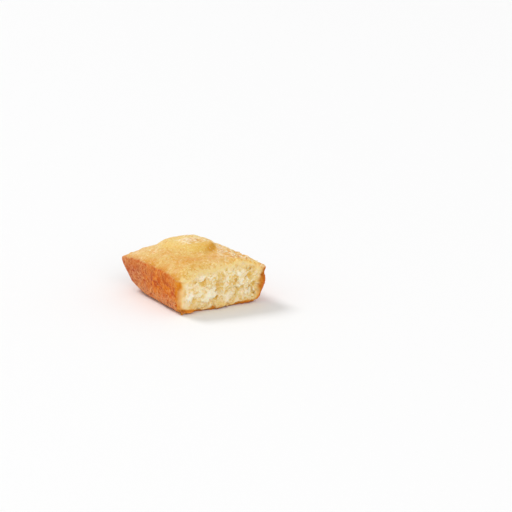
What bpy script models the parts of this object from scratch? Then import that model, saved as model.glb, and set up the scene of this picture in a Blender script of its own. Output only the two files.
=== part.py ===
"""Half of a small oblong tea cake, baked in a tapered mould and cut across its middle.

+X points out of the cut face, +Z is up, and the cake rests on z = 0 with its box centred
on the origin.  The cake is one solid.  A closed grid of faces is laid over the mould's
form, drawn onto the surface that the form functions below describe, and then the crumb's
open cells are pressed into the cut.

Sizes are in millimetres until the points are placed, and the finished mesh is in metres.
"""
import math
import random

import bmesh
import bpy
import numpy as np

MM = 0.001

# The mould
LENGTH = 45.0            # from the uncut end's rim to the top of the cut
WIDTH = 38.0             # across the rim
RIM_HEIGHT = 13.2        # the rim's height at its corners
TAPER = 2.6              # how far the foot of a wall stands inside its rim
TAPER_POWER = 1.6        # above 1, the wall is steep above and turns in below
FOOT_RADIUS = 2.6        # rounding between wall and base
RIM_CORNER = 0.9         # plan radius of the uncut corners at the rim
FOOT_CORNER = 6.5        # and at the foot
RIM_RADIUS = 0.5         # rounding of the rim's edge
SPREAD = 1.4             # how far the knife pushed out the foot of the -Y wall at the cut

# The risen top
RIM_ARCH = 1.6           # how far the long rims rise between their corners
END_ARCH = 0.4           # the same at the uncut end
FAR_RISE = 0.6           # how much higher the +Y rim is at the cut
CROWN = 5.2              # the loaf's rise above the rim
CROWN_POWER = 2.4        # how flat the crown is across
CROWN_EASE = 0.9         # below 1, it rises steeply from the rim
END_POWER = 12.0         # how soon the crown rises from the uncut end
BUMP = 2.6               # the dome where the middle rose last
BUMP_X = -4.0
BUMP_Y = -0.3
BUMP_TO_CUT = 10.5       # its reach toward the cut, where its flank is steep
BUMP_TO_END = 13.0       # toward the uncut end
BUMP_ACROSS = 12.0
BUMP_EASE = 0.75         # below 1, its flank is steep at the foot
LOBE = 2.1               # a second dome, risen beside the first and steep on its +Y side
LOBE_X = 2.5
LOBE_Y = -1.0
LOBE_TO_CUT = 9.5
LOBE_TO_END = 12.0
LOBE_ACROSS = 9.5
LOBE_STEEP = 0.68        # how far out its level top reaches, over its own reach
LOBE_GENTLE = 0.1        # the same on its -Y side, which slopes all the way
LOBE_STEEP_Y = 1.0       # it is steep on the +Y side of here
LOBE_GENTLE_Y = -8.0     # and gentle on the -Y side of here
LOBE_BLEND = 0.5         # softness of the crease between the domes

# Blisters that burst in the top: seeded ones, and those along the bump's +Y side
BLISTER_SEED = 3
BLISTERS = 20
BLISTER_SMALL = 1.1      # radii
BLISTER_LARGE = 2.2
BLISTER_FAINT = 0.5      # depth of the faintest over that of the clearest
BLISTER_RISE = 0.16      # height of the ring left standing
BLISTER_SINK = 0.22      # depth of the floor inside it
BLISTER_RING = 0.35      # the ring's width over its radius
BLISTER_MARGIN = 4.0     # they stay this far from rim and cut
BURST_ROW = ((2.0, 11.5), (6.0, 10.2), (9.5, 12.6), (13.5, 11.0), (16.0, 14.0))
BURST_RADIUS = 1.9
BURST_DEPTH = 1.6        # how much deeper they are than the seeded ones
SAG_X = 9.0              # the hollow between bump and cut
SAG_Y = -6.0
SAG_RADIUS = 4.5
SAG = 0.45

# The cut
CUT_LEAN = 2.0           # how far the foot of the cut stands behind its top
CUT_RADIUS = 0.5         # edge of the cut at the walls
CUT_FOOT_RADIUS = 1.3    # and at the base
ROLL_RADIUS = 5.0        # where the knife drew the top crust down over the cut
ROLL_LOW = 10.0          # heights between which the edge opens to that radius
ROLL_HIGH = 15.5
ROLL_WIDE = -2.0         # the roll is full on the -Y side of here
ROLL_NARROW = 10.0       # and gone on the +Y side of here
ROLL_BACK = 0.6          # the crumb opens between these depths behind the cut's plane
ROLL_FRONT = 0.05

# The grid of faces
CELLS_ALONG = 26
CELLS_ACROSS = 56
CELLS_UP = 24
CUT_GRADING = 1.4        # above 1, the cells narrow toward the cut

# The crust's unevenness
SWELL = 0.2              # slow waves in walls and top
SWELL_WAVES = (11, 24, 6.0, 16.0)      # seed, count, shortest and longest wave

# The open crumb
CRUMB_SEED = 5
CRUMB_CELLS = 260
CELL_SMALL = 0.45        # cell radii
CELL_LARGE = 1.7
CELL_SKEW = 3            # above 1, small cells outnumber large ones
CELL_LEAST_OUT = -0.1    # how far a cell's middle lies out of the cut, over its radius
CELL_MOST_OUT = 0.6
CRUMB_SKIN = 0.5         # the baked skin at the cut's rim, which has no cells
CRUMB_FULL = 1.6         # from here inward the cells have their full depth
CRUMB_SWELL = 0.3
CRUMB_WAVES = (23, 24, 2.2, 7.0)

# Lumps and notches left by the knife: place, radius, and how far each stands out
CRAGS = (
    (20.6, -14.0, 0.9, 1.5, 1.5),
    (20.6, -17.6, 0.8, 1.8, -0.5),
    (20.6, 18.6, 7.5, 3.0, 0.35),
    (20.6, 12.2, 0.7, 0.9, 0.6),
    (22.0, 18.2, 14.2, 1.2, 0.7),
    (21.6, 19.2, 12.0, 0.9, -0.6),
)
CRAG_CLEAR = 0.8         # height over which the crags fade out above the base

# Drawing the grid onto the surface
GRADIENT_STEP = 0.02
DRAWING_STEPS = 12
LEAST_STEEPNESS = 0.25   # keeps a point from being thrown far where the form is creased

FACE_AT = 0.9999         # on the unit cube, a point past this is on its far face
FLAT_WITHIN = 0.002      # a face is part of the base if its points are this close to z = 0

CRUST_COLOUR = (0.62, 0.31, 0.08, 1.0)
CRUST_ROUGHNESS = 0.6


def smooth_step(low, high, value):
    """0 at low, 1 at high, whichever is the larger."""
    t = np.clip((value - low) / (high - low), 0.0, 1.0)
    return t * t * (3.0 - 2.0 * t)


def rounded_meet(a, b, radius):
    """Distance outside both of two solids, with the edge between them rounded."""
    corner = np.hypot(np.maximum(a + radius, 0.0), np.maximum(b + radius, 0.0))
    return np.minimum(np.maximum(a, b), -radius) + corner


def soft_max(a, b, softness):
    """The larger of a and b, with the crease between them filled."""
    share = np.clip(0.5 + 0.5 * (a - b) / softness, 0.0, 1.0)
    return b + (a - b) * share + softness * share * (1.0 - share)


def plane_waves(seed, count, shortest, longest):
    """Seeded wave vectors and phases, whose sum is a smooth uneven field."""
    rng = random.Random(seed)
    waves = []
    for _ in range(count):
        number = 2.0 * math.pi / rng.uniform(shortest, longest)
        turn = rng.uniform(0.0, 2.0 * math.pi)
        lift = rng.uniform(-1.0, 1.0)
        level = math.sqrt(1.0 - lift * lift)
        direction = np.array((level * math.cos(turn), level * math.sin(turn), lift))
        waves.append((number * direction, rng.uniform(0.0, 2.0 * math.pi)))
    return waves


def wave_sum(waves, x, y, z):
    """Mostly between -1 and 1."""
    total = np.zeros_like(x)
    for vector, phase in waves:
        total += np.sin(vector[0] * x + vector[1] * y + vector[2] * z + phase)
    return total / math.sqrt(len(waves))


def inset(z):
    """How far a wall stands inside the rim at this height."""
    return TAPER * np.clip(1.0 - z / RIM_HEIGHT, 0.0, 1.0) ** TAPER_POWER


def mould_distance(x, y, z):
    """Distance outside the mould, whose corners are sharp at the rim and round below."""
    climb = smooth_step(0.0, 1.0, z / RIM_HEIGHT)
    corner = FOOT_CORNER + (RIM_CORNER - FOOT_CORNER) * climb
    toward_cut = np.clip(x / LENGTH + 0.5, 0.0, 1.0)
    pushed = SPREAD * toward_cut ** 2 * (inset(z) / TAPER) * (y < 0.0)
    across = np.abs(y) - (WIDTH / 2 - inset(z) + pushed - corner)
    along = (inset(z) + corner - LENGTH / 2) - x
    beyond = np.hypot(np.maximum(across, 0.0), np.maximum(along, 0.0))
    plan = beyond + np.minimum(np.maximum(across, along), 0.0) - corner
    return rounded_meet(plan, -z, FOOT_RADIUS)


def dome_share(x, y, centre_x, centre_y, to_cut, to_end, across):
    """1 at a dome's middle, 0 at its foot."""
    reach = np.where(x > centre_x, to_cut, to_end)
    spread = ((x - centre_x) / reach) ** 2 + ((y - centre_y) / across) ** 2
    return np.clip(1.0 - spread, 0.0, 1.0)


def bump_height(x, y):
    """Rise of the dome, which is steeper toward the cut, and of its lobe."""
    dome = dome_share(x, y, BUMP_X, BUMP_Y, BUMP_TO_CUT, BUMP_TO_END, BUMP_ACROSS)
    lobe = dome_share(x, y, LOBE_X, LOBE_Y, LOBE_TO_CUT, LOBE_TO_END, LOBE_ACROSS)
    gentle = smooth_step(LOBE_STEEP_Y, LOBE_GENTLE_Y, y)
    level = LOBE_STEEP + (LOBE_GENTLE - LOBE_STEEP) * gentle
    risen = BUMP * dome ** BUMP_EASE
    beside = LOBE * smooth_step(1.0, level, np.sqrt(1.0 - lobe))
    return soft_max(risen, beside, LOBE_BLEND) - soft_max(0.0, 0.0, LOBE_BLEND)


def blisters():
    """Place, radius and depth of each burst blister."""
    rng = random.Random(BLISTER_SEED)
    reach_x = LENGTH / 2 - BLISTER_MARGIN
    reach_y = WIDTH / 2 - BLISTER_MARGIN
    marks = [(x, y, BURST_RADIUS, BURST_DEPTH) for x, y in BURST_ROW]
    for _ in range(BLISTERS):
        x = rng.uniform(-reach_x, reach_x)
        y = rng.uniform(-reach_y, reach_y)
        radius = rng.uniform(BLISTER_SMALL, BLISTER_LARGE)
        marks.append((x, y, radius, rng.uniform(BLISTER_FAINT, 1.0)))
    return marks


def blister_height(x, y):
    """Rings and hollows that the burst blisters left, and the sag beside the bump."""
    height = -SAG * np.exp(-((x - SAG_X) ** 2 + (y - SAG_Y) ** 2) / SAG_RADIUS ** 2)
    for mark_x, mark_y, radius, depth in blisters():
        away = np.hypot(x - mark_x, y - mark_y) / radius
        ring = BLISTER_RISE * np.exp(-((away - 1.0) / BLISTER_RING) ** 2)
        floor = BLISTER_SINK * np.exp(-(away / (1.0 - BLISTER_RING)) ** 4)
        height += depth * (ring - floor)
    return height


def top_height(x, y):
    """Height of the risen top, which meets the rim at the walls."""
    along = np.clip(x / LENGTH + 0.5, 0.0, 1.0)
    across = np.clip(np.abs(2.0 * y / WIDTH), 0.0, 1.0)
    rim = RIM_HEIGHT + RIM_ARCH * np.sin(math.pi * along)
    rim += END_ARCH * (1.0 - along) ** 2 * (1.0 - across ** 2)
    rim += FAR_RISE * along ** 2 * np.clip(2.0 * y / WIDTH, 0.0, 1.0)
    from_walls = (1.0 - across ** CROWN_POWER) ** CROWN_EASE
    from_end = (1.0 - (1.0 - along) ** END_POWER) ** CROWN_EASE
    risen = CROWN * from_walls * from_end + bump_height(x, y)
    return rim + risen + blister_height(x, y)


def cut_plane(z):
    """How far along X the cut lies at this height."""
    return LENGTH / 2 - CUT_LEAN * np.clip(1.0 - z / RIM_HEIGHT, 0.0, 1.0)


def crust_distance(x, y, z):
    """Distance outside the crust, which has no end at the cut."""
    return rounded_meet(mould_distance(x, y, z), z - top_height(x, y), RIM_RADIUS)


def cut_edge_radius(y, z):
    """Radius of the cut's edge: small at the walls, wide where the top was drawn down."""
    at_top = smooth_step(ROLL_LOW, ROLL_HIGH, z) * smooth_step(ROLL_NARROW, ROLL_WIDE, y)
    at_foot = smooth_step(2.0 * CUT_FOOT_RADIUS, 0.0, z)
    radius = CUT_RADIUS + (ROLL_RADIUS - CUT_RADIUS) * at_top
    return radius + (CUT_FOOT_RADIUS - CUT_RADIUS) * at_foot


def cake_distance(points, swell):
    """Distance outside the cake, before the crumb is opened."""
    x, y, z = points.T
    body = rounded_meet(crust_distance(x, y, z), x - cut_plane(z), cut_edge_radius(y, z))
    for crag_x, crag_y, crag_z, radius, rise in CRAGS:
        away = (x - crag_x) ** 2 + (y - crag_y) ** 2 + (z - crag_z) ** 2
        body -= rise * np.exp(-away / radius ** 2) * smooth_step(0.0, CRAG_CLEAR, z)
    off_base = smooth_step(0.0, FOOT_RADIUS, z)
    return body - SWELL * off_base * wave_sum(swell, x, y, z)


def draw_onto_surface(points, swell):
    """Moves each point along the steepest way to where the distance is nothing."""
    for _ in range(DRAWING_STEPS):
        distance = cake_distance(points, swell)
        slope = np.empty_like(points)
        for axis in range(3):
            ahead = points.copy()
            ahead[:, axis] += GRADIENT_STEP
            slope[:, axis] = (cake_distance(ahead, swell) - distance) / GRADIENT_STEP
        steepness = np.maximum((slope ** 2).sum(axis=1), LEAST_STEEPNESS)
        points = points - slope * (distance / steepness)[:, None]
    return points


def crumb_cells():
    """Seeded open cells of the crumb: place on the cut, radius, and how far out they lie."""
    rng = random.Random(CRUMB_SEED)
    cells = []
    for _ in range(CRUMB_CELLS):
        radius = CELL_SMALL + (CELL_LARGE - CELL_SMALL) * rng.random() ** CELL_SKEW
        across = rng.uniform(-WIDTH / 2, WIDTH / 2)
        height = rng.uniform(0.0, RIM_HEIGHT + CROWN)
        out = radius * rng.uniform(CELL_LEAST_OUT, CELL_MOST_OUT)
        cells.append((across, height, radius, out))
    return cells


def crumb_depth(y, z):
    """How deep the open cells are pressed into the cut."""
    depth = np.zeros_like(y)
    for across, height, radius, out in crumb_cells():
        span = (y - across) ** 2 + (z - height) ** 2
        bowl = np.sqrt(np.maximum(radius ** 2 - span, 0.0)) - out
        depth = np.maximum(depth, bowl)
    return depth


def press_crumb(points, on_cut):
    """Presses the open cells and slow waves into the points of the cut."""
    x, y, z = points[on_cut].T
    inside = smooth_step(CRUMB_SKIN, CRUMB_FULL, -crust_distance(x, y, z))
    inside *= smooth_step(ROLL_BACK, ROLL_FRONT, cut_plane(z) - x)
    swell = CRUMB_SWELL * wave_sum(plane_waves(*CRUMB_WAVES), x, y, z)
    points[on_cut, 0] -= inside * (crumb_depth(y, z) + swell)


def form_grid(bm):
    """A cube from 0 to 1 whose faces are cut into the grid's cells."""
    bmesh.ops.create_cube(bm, size=1.0)
    bmesh.ops.translate(bm, verts=bm.verts, vec=(0.5, 0.5, 0.5))
    for axis, cells in enumerate((CELLS_ALONG, CELLS_ACROSS, CELLS_UP)):
        along_axis = []
        for edge in bm.edges:
            run = edge.verts[1].co - edge.verts[0].co
            if abs(run[axis]) > FACE_AT:
                along_axis.append(edge)
        bmesh.ops.subdivide_edges(bm, edges=along_axis, cuts=cells - 1)


def lay_over_mould(unit):
    """Takes the unit cube's points to the mould's walls, base, cut and top."""
    along = 1.0 - (1.0 - unit[:, 0]) ** CUT_GRADING
    level = unit[:, 2] * RIM_HEIGHT
    y = (unit[:, 1] * 2.0 - 1.0) * (WIDTH / 2 - inset(level))
    start = inset(level) - LENGTH / 2
    x = start + along * (cut_plane(level) - start)
    z = unit[:, 2] * top_height(x, y)
    return np.stack((x, y, z), axis=1)


def flatten_base(bm):
    """Joins the faces that rest on the ground into one."""
    resting = []
    for face in bm.faces:
        if all(abs(vert.co.z) < FLAT_WITHIN * MM for vert in face.verts):
            resting.append(face)
    for face in resting:
        for vert in face.verts:
            vert.co.z = 0.0
    bmesh.ops.dissolve_faces(bm, faces=resting)


def crust_material():
    material = bpy.data.materials.new("baked_crust")
    material.use_nodes = True
    shader = material.node_tree.nodes["Principled BSDF"]
    shader.inputs["Base Color"].default_value = CRUST_COLOUR
    shader.inputs["Roughness"].default_value = CRUST_ROUGHNESS
    shader.inputs["Metallic"].default_value = 0.0
    return material


def build_cake():
    bm = bmesh.new()
    form_grid(bm)
    unit = np.array([vert.co[:] for vert in bm.verts])
    on_cut = unit[:, 0] > FACE_AT
    points = draw_onto_surface(lay_over_mould(unit), plane_waves(*SWELL_WAVES))
    press_crumb(points, on_cut)
    middle = (points.min(axis=0) + points.max(axis=0)) / 2
    points[:, :2] -= middle[:2]
    for vert, point in zip(bm.verts, points):
        vert.co = point * MM
    flatten_base(bm)
    bmesh.ops.recalc_face_normals(bm, faces=bm.faces)

    mesh = bpy.data.meshes.new("financier_half")
    bm.to_mesh(mesh)
    bm.free()
    mesh.shade_smooth()
    mesh.materials.append(crust_material())
    cake = bpy.data.objects.new("financier_half", mesh)
    bpy.context.scene.collection.objects.link(cake)
    return cake


def main():
    for old in list(bpy.data.objects):
        bpy.data.objects.remove(old)
    build_cake()


main()
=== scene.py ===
"""The looks of the half cake: its baked walls, risen top and open crumb.

The cake is one closed mesh.  Its form is the solid's own form functions, sampled as a
distance on a fine grid.  Pores, wrinkles and the crumb's open cells are pressed into that
distance, and the surface is then drawn out of it.  Form sizes are in millimetres, in the
frame's axes, and the finished mesh is in metres.  A span is a pair of numbers: where a share
is nothing and where it is whole.  Spans that are written one after the other belong together.
"""
import math
import random

import bpy
import numpy as np
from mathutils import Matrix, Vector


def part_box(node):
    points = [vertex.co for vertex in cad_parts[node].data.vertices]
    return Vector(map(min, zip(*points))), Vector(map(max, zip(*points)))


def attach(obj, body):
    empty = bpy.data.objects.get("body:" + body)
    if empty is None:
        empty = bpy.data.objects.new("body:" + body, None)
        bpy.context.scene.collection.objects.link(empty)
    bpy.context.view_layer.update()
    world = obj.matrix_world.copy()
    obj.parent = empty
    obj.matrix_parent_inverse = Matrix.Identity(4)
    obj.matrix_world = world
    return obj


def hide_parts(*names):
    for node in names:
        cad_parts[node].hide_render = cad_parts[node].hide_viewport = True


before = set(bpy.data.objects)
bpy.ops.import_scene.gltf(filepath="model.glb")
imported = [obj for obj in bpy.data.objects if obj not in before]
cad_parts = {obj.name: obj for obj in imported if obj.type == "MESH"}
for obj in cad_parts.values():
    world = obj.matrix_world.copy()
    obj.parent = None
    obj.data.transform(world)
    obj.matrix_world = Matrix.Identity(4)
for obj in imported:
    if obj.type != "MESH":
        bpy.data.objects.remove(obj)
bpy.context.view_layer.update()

import openvdb
from mathutils import Vector

MM = 0.001
NODE = "financier_half"

# ---- the solid's form
LENGTH = 45.0  # the mould
WIDTH = 38.0
RIM_HEIGHT = 13.2
TAPER = 2.6
TAPER_POWER = 1.6
FOOT_RADIUS = 2.6
RIM_CORNER = 0.9
FOOT_CORNER = 6.5
RIM_RADIUS = 0.5
SPREAD = 1.4  # how far the foot at the cut is pressed out toward -Y

RIM_ARCH = 1.6  # the risen top, its bump and the lobe beside it
END_ARCH = 0.4
FAR_RISE = 0.6
CROWN = 5.2
CROWN_POWER = 2.4
CROWN_EASE = 0.9
END_POWER = 12.0
BUMP = 2.6
BUMP_DOME = (-4.0, -0.3, 10.5, 13.0, 12.0)  # middle, reach to the cut, to the end, across
BUMP_EASE = 0.75
LOBE = 2.1
LOBE_DOME = (2.5, -1.0, 9.5, 12.0, 9.5)
LOBE_STEEP = 0.68
LOBE_GENTLE = 0.1
LOBE_TURNS = (1.0, -8.0)
LOBE_BLEND = 0.5

BLISTER_SEED = 3  # burst blisters, and a shallow sag beside the bump
BLISTERS = 20
BLISTER_REACH = (1.1, 2.2)
BLISTER_FAINT = 0.5
BLISTER_RISE = 0.16
BLISTER_SINK = 0.22
BLISTER_RING = 0.35
BLISTER_MARGIN = 4.0
BURST_ROW = ((2.0, 11.5), (6.0, 10.2), (9.5, 12.6), (13.5, 11.0), (16.0, 14.0))
BURST_RADIUS = 1.9
BURST_DEPTH = 1.6
SAG_X = 9.0
SAG_Y = -6.0
SAG_RADIUS = 4.5
SAG = 0.45

CUT_LEAN = 2.0  # the cut, whose upper edge was drawn down
CUT_RADIUS = 0.5
CUT_FOOT_RADIUS = 1.3
ROLL_RADIUS = 5.0
ROLLED = (10.0, 15.5, 10.0, -2.0)  # in height and across

SWELL = 0.2  # the unevenness of the whole cake
SWELL_WAVES = (11, 24, 6.0, 16.0)

CRUMB_SEED = 5  # the crumb's open cells, and its swell
CRUMB_CELLS = 260
CELL_SMALL = 0.45
CELL_LARGE = 1.7
CELL_SKEW = 3
CELL_STANDS_OUT = (-0.1, 0.6)
CRUMB_SKIN = 0.5
CRUMB_FULL = 1.6
CRUMB_SWELL = 0.3
CRUMB_WAVES = (23, 24, 2.2, 7.0)

CRAGS = (  # at the cut's corners: place, radius and rise
    (20.6, -14.0, 0.9, 1.5, 1.5),
    (20.6, -17.6, 0.8, 1.8, -0.5),
    (20.6, 18.6, 7.5, 3.0, 0.35),
    (20.6, 12.2, 0.7, 0.9, 0.6),
    (22.0, 18.2, 14.2, 1.2, 0.7),
    (21.6, 19.2, 12.0, 0.9, -0.6),
)
CRAG_CLEAR = 0.8
WORN_RADIUS = 3.0  # the -Y edge of the cut, rounded by tearing between its ends
WORN = (-11.0, -15.0, 1.0, 4.0, 13.0, 10.5)  # across, from the foot and from the rim
FLANK_STEP = 0.8  # the bump's flank, where shade is painted, and how its fall is weighed
FLANK_ACROSS = 0.85
FLANK_ALONG = 0.5
FLANK_FALL = (0.0, 1.1)
FLANK_LEAST = 0.55


def smooth_step(low, high, value):
    """0 at low, 1 at high, whichever is the larger."""
    t = np.clip((value - low) / (high - low), 0.0, 1.0)
    return t * t * (3.0 - 2.0 * t)


def within(spans, *values):
    """The product of the shares of each value in its span."""
    share = 1.0
    for low, high, value in zip(spans[::2], spans[1::2], values):
        share = share * smooth_step(low, high, value)
    return share


def rounded_meet(a, b, radius):
    """Distance outside both of two solids, with the edge between them rounded."""
    corner = np.hypot(np.maximum(a + radius, 0.0), np.maximum(b + radius, 0.0))
    return np.minimum(np.maximum(a, b), -radius) + corner


def soft_max(a, b, softness):
    share = np.clip(0.5 + 0.5 * (a - b) / softness, 0.0, 1.0)
    return blend(b, a, share) + softness * share * (1.0 - share)


def blend(a, b, share):
    """a where the share is nothing, b where it is whole."""
    return a + (b - a) * share


def plane_waves(seed, count, shortest, longest):
    """Seeded wave vectors and phases, whose sum is a smooth uneven field."""
    rng = random.Random(seed)
    waves = []
    for _ in range(count):
        number = 2.0 * math.pi / rng.uniform(shortest, longest)
        turn = rng.uniform(0.0, 2.0 * math.pi)
        lift = rng.uniform(-1.0, 1.0)
        level = math.sqrt(1.0 - lift * lift)
        direction = (level * math.cos(turn), level * math.sin(turn), lift)
        vector = [number * part for part in direction]
        waves.append((vector, rng.uniform(0.0, 2.0 * math.pi)))
    return waves


def wave_sum(waves, x, y, z):
    """Mostly between -1 and 1."""
    total = 0.0
    for vector, phase in waves:
        total = total + np.sin(vector[0] * x + vector[1] * y + vector[2] * z + phase)
    return total / math.sqrt(len(waves))


def inset(z):
    return TAPER * np.clip(1.0 - z / RIM_HEIGHT, 0.0, 1.0) ** TAPER_POWER


def mould_distance(x, y, z):
    """Distance outside the mould, whose corners are sharp at the rim and round below."""
    climb = smooth_step(0.0, 1.0, z / RIM_HEIGHT)
    corner = blend(FOOT_CORNER, RIM_CORNER, climb)
    toward_cut = np.clip(x / LENGTH + 0.5, 0.0, 1.0)
    pushed = SPREAD * toward_cut ** 2 * (inset(z) / TAPER) * (y < 0.0)
    across = np.abs(y) - (WIDTH / 2 - inset(z) + pushed - corner)
    along = (inset(z) + corner - LENGTH / 2) - x
    beyond = np.hypot(np.maximum(across, 0.0), np.maximum(along, 0.0))
    plan = beyond + np.minimum(np.maximum(across, along), 0.0) - corner
    return rounded_meet(plan, -z, FOOT_RADIUS)


def dome_share(x, y, centre_x, centre_y, to_cut, to_end, across):
    """1 at a dome's middle, 0 at its foot."""
    reach = np.where(x > centre_x, to_cut, to_end)
    spread = ((x - centre_x) / reach) ** 2 + ((y - centre_y) / across) ** 2
    return np.clip(1.0 - spread, 0.0, 1.0)


def bump_height(x, y):
    """The dome on the top, and its steep-sided lobe toward the cut."""
    dome = dome_share(x, y, *BUMP_DOME)
    lobe = dome_share(x, y, *LOBE_DOME)
    gentle = smooth_step(*LOBE_TURNS, y)
    flat = blend(LOBE_STEEP, LOBE_GENTLE, gentle)
    risen = BUMP * dome ** BUMP_EASE
    beside = LOBE * smooth_step(1.0, flat, np.sqrt(1.0 - lobe))
    return soft_max(risen, beside, LOBE_BLEND) - soft_max(0.0, 0.0, LOBE_BLEND)


def bump_flank_shade(x, y):
    """How steeply the bump falls toward +Y and the cut, at its corner: the share of shade painted
    on its flank.
    """
    down_across = bump_height(x, y - FLANK_STEP) - bump_height(x, y + FLANK_STEP)
    down_along = bump_height(x - FLANK_STEP, y) - bump_height(x + FLANK_STEP, y)
    fall = (FLANK_ACROSS * down_across + FLANK_ALONG * down_along) / (2.0 * FLANK_STEP)
    beside = spot("shaded_flank", x, y)
    return np.clip(FLANK_LEAST * beside + smooth_step(*FLANK_FALL, fall) * beside, 0.0, 1.0)


def blisters():
    """Place, radius and depth of each burst blister."""
    rng = random.Random(BLISTER_SEED)
    reach_x = LENGTH / 2 - BLISTER_MARGIN
    reach_y = WIDTH / 2 - BLISTER_MARGIN
    marks = [(x, y, BURST_RADIUS, BURST_DEPTH) for x, y in BURST_ROW]
    for _ in range(BLISTERS):
        x = rng.uniform(-reach_x, reach_x)
        y = rng.uniform(-reach_y, reach_y)
        radius = rng.uniform(*BLISTER_REACH)
        marks.append((x, y, radius, rng.uniform(BLISTER_FAINT, 1.0)))
    return marks


def blister_height(x, y):
    height = -SAG * np.exp(-((x - SAG_X) ** 2 + (y - SAG_Y) ** 2) / SAG_RADIUS ** 2)
    for mark_x, mark_y, radius, depth in blisters():
        away = np.hypot(x - mark_x, y - mark_y) / radius
        ring = BLISTER_RISE * np.exp(-((away - 1.0) / BLISTER_RING) ** 2)
        floor = BLISTER_SINK * np.exp(-(away / (1.0 - BLISTER_RING)) ** 4)
        height = height + depth * (ring - floor)
    return height


def top_height(x, y):
    """Height of the risen top, which meets the rim at the walls."""
    along = np.clip(x / LENGTH + 0.5, 0.0, 1.0)
    across = np.clip(np.abs(2.0 * y / WIDTH), 0.0, 1.0)
    rim = RIM_HEIGHT + RIM_ARCH * np.sin(math.pi * along)
    rim = rim + END_ARCH * (1.0 - along) ** 2 * (1.0 - across ** 2)
    rim = rim + FAR_RISE * along ** 2 * np.clip(2.0 * y / WIDTH, 0.0, 1.0)
    from_walls = (1.0 - across ** CROWN_POWER) ** CROWN_EASE
    from_end = (1.0 - (1.0 - along) ** END_POWER) ** CROWN_EASE
    risen = CROWN * from_walls * from_end + bump_height(x, y)
    return rim + risen + blister_height(x, y)


def cut_plane(z):
    return LENGTH / 2 - CUT_LEAN * np.clip(1.0 - z / RIM_HEIGHT, 0.0, 1.0)


def crust_distance(x, y, z):
    """Distance outside the crust, which has no end at the cut."""
    return rounded_meet(mould_distance(x, y, z), z - top_height(x, y), RIM_RADIUS)


def cut_edge_radius(y, z):
    """Radius of the cut's edge: small at the walls, wide where the top was drawn down."""
    at_top = within(ROLLED, z, y)
    at_foot = smooth_step(2.0 * CUT_FOOT_RADIUS, 0.0, z)
    radius = blend(CUT_RADIUS, ROLL_RADIUS, at_top)
    radius = np.maximum(radius, WORN_RADIUS * within(WORN, y, z, z))
    return radius + (CUT_FOOT_RADIUS - CUT_RADIUS) * at_foot


def cake_distance(x, y, z, cut_relief=0.0):
    """Distance outside the cake, before pores and cells.  cut_relief lowers the cut."""
    from_cut = x - cut_plane(z) + cut_relief
    body = rounded_meet(crust_distance(x, y, z), from_cut, cut_edge_radius(y, z))
    for crag_x, crag_y, crag_z, radius, rise in CRAGS:
        away = (x - crag_x) ** 2 + (y - crag_y) ** 2 + (z - crag_z) ** 2
        body = body - rise * np.exp(-away / radius ** 2) * smooth_step(0.0, CRAG_CLEAR, z)
    off_base = smooth_step(0.0, FOOT_RADIUS, z)
    return body - SWELL * off_base * wave_sum(plane_waves(*SWELL_WAVES), x, y, z)


def crumb_cells():
    """Seeded open cells of the crumb: place on the cut, radius, and how far out they lie."""
    rng = random.Random(CRUMB_SEED)
    cells = []
    for _ in range(CRUMB_CELLS):
        radius = blend(CELL_SMALL, CELL_LARGE, rng.random() ** CELL_SKEW)
        across = rng.uniform(-WIDTH / 2, WIDTH / 2)
        height = rng.uniform(0.0, RIM_HEIGHT + CROWN)
        out = radius * rng.uniform(*CELL_STANDS_OUT)
        cells.append((across, height, radius, out))
    return cells


# ---- the sampled surface
VOXEL = 0.29
GRID_MARGIN = 1.0
BAND_INSIDE = -2.2
BAND_OUTSIDE = 1.2
NOISE_SIZE = 64  # cells before a noise repeats
FAR_OFF = 9.0  # farther than any centre of a foam's cell
BALL_REACH = 1.5
BALL_ROUGH = 0.45


def lattice(seed, kinds):
    """Seeded random values from 0 to 1 on a lattice that repeats, some kinds at each place."""
    shape = (NOISE_SIZE,) * 3 + (kinds,)
    return np.random.RandomState(seed).uniform(0.0, 1.0, shape).astype(np.float32)


def noise(seed, points, cell):
    """Smooth noise from -1 to 1, with one random value a cell."""
    table = lattice(seed, 1)[..., 0]
    scaled = points / cell
    floor = np.floor(scaled)
    share = scaled - floor
    share = share * share * (3.0 - 2.0 * share)
    home = floor.astype(np.int64)
    total = np.zeros(len(points), dtype=np.float32)
    for corner in range(8):
        ahead = np.array([(corner >> k) & 1 for k in range(3)])
        weight = np.prod(np.where(ahead, share, 1.0 - share), axis=1)
        place = (home + ahead) % NOISE_SIZE
        total += weight * table[place[:, 0], place[:, 1], place[:, 2]]
    return 2.0 * total - 1.0


def foam(name, points):
    """One seeded centre a cell: how far the nearest two are, and the nearest's own number."""
    seed, cell = FOAMS[name]
    table = lattice(seed, 4)
    home = np.floor(points / cell).astype(np.int64)
    nearest = np.full(len(points), FAR_OFF, dtype=np.float32)
    second = nearest.copy()
    number = np.zeros(len(points), dtype=np.float32)
    for dx in (-1, 0, 1):
        for dy in (-1, 0, 1):
            for dz in (-1, 0, 1):
                beside = home + np.array((dx, dy, dz))
                place = beside % NOISE_SIZE
                drawn = table[place[:, 0], place[:, 1], place[:, 2]]
                gap = ((beside + drawn[:, :3] - points / cell) ** 2).sum(axis=1)
                closer = gap < nearest
                second = np.where(closer, nearest, np.minimum(second, gap))
                number = np.where(closer, drawn[:, 3], number)
                nearest = np.minimum(nearest, gap)
    return np.sqrt(nearest) * cell, np.sqrt(second) * cell, number


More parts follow.
